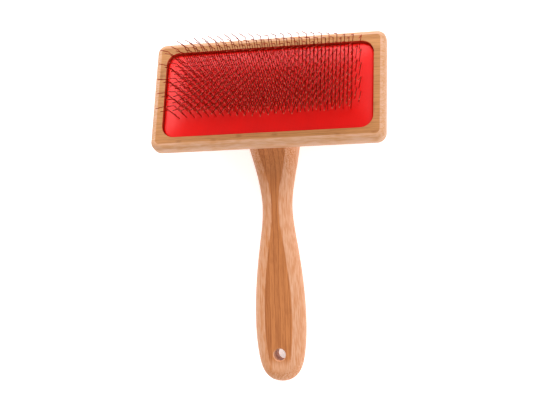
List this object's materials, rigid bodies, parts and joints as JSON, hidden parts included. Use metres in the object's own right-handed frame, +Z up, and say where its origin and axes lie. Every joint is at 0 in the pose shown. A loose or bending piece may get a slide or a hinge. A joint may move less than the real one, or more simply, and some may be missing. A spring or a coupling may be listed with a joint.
{
  "type": "slicker brush",
  "caption": "Pet grooming slicker brush: wooden head and handle, red rubber pad set with fine bent wire pins.",
  "frame": {"origin": "on the flat back of the handle, under the middle of the head's back face", "axes": "+X across the head, +Y from the handle's butt towards the head, +Z up through the pins; the brush lies on its handle's back, and the head leans 18.5 degrees down towards +Y"},
  "size_m": [0.133, 0.1949, 0.0525],
  "materials": {
    "bamboo_head": "satin, oiled",
    "bamboo_handle": "satin, oiled",
    "screw_steel": "zinc plated",
    "sponge": "closed-cell sponge",
    "cloth": "woven, rubberised",
    "red_rubber": "fine matt texture",
    "pin_wire": "dark tempered wire"
  },
  "bodies": {
    "brush_body": {"head_block": "bamboo_head", "handle": "bamboo_handle", "handle_screws": "screw_steel", "foam_cushion": "sponge"},
    "pin_pad": {"base_cloth": "cloth", "rubber_facing": "red_rubber", "pin_row_01": "pin_wire", "pin_row_02": "pin_wire", "pin_row_03": "pin_wire", "pin_row_04": "pin_wire", "pin_row_05": "pin_wire", "pin_row_06": "pin_wire", "pin_row_07": "pin_wire", "pin_row_08": "pin_wire", "pin_row_09": "pin_wire", "pin_row_10": "pin_wire", "pin_row_11": "pin_wire", "pin_row_12": "pin_wire", "pin_row_13": "pin_wire", "pin_row_14": "pin_wire", "pin_row_15": "pin_wire", "pin_row_16": "pin_wire", "pin_row_17": "pin_wire", "pin_row_18": "pin_wire", "pin_row_19": "pin_wire"}
  },
  "joints": [
    {"name": "cushion_press", "type": "slide", "parent": "brush_body", "child": "pin_pad", "axis": [0, 0.3173, 0.9483], "range_m": [-0.0012, 0], "stiffness_N_per_m": 6000, "deforming": ["foam_cushion"]}
  ]
}
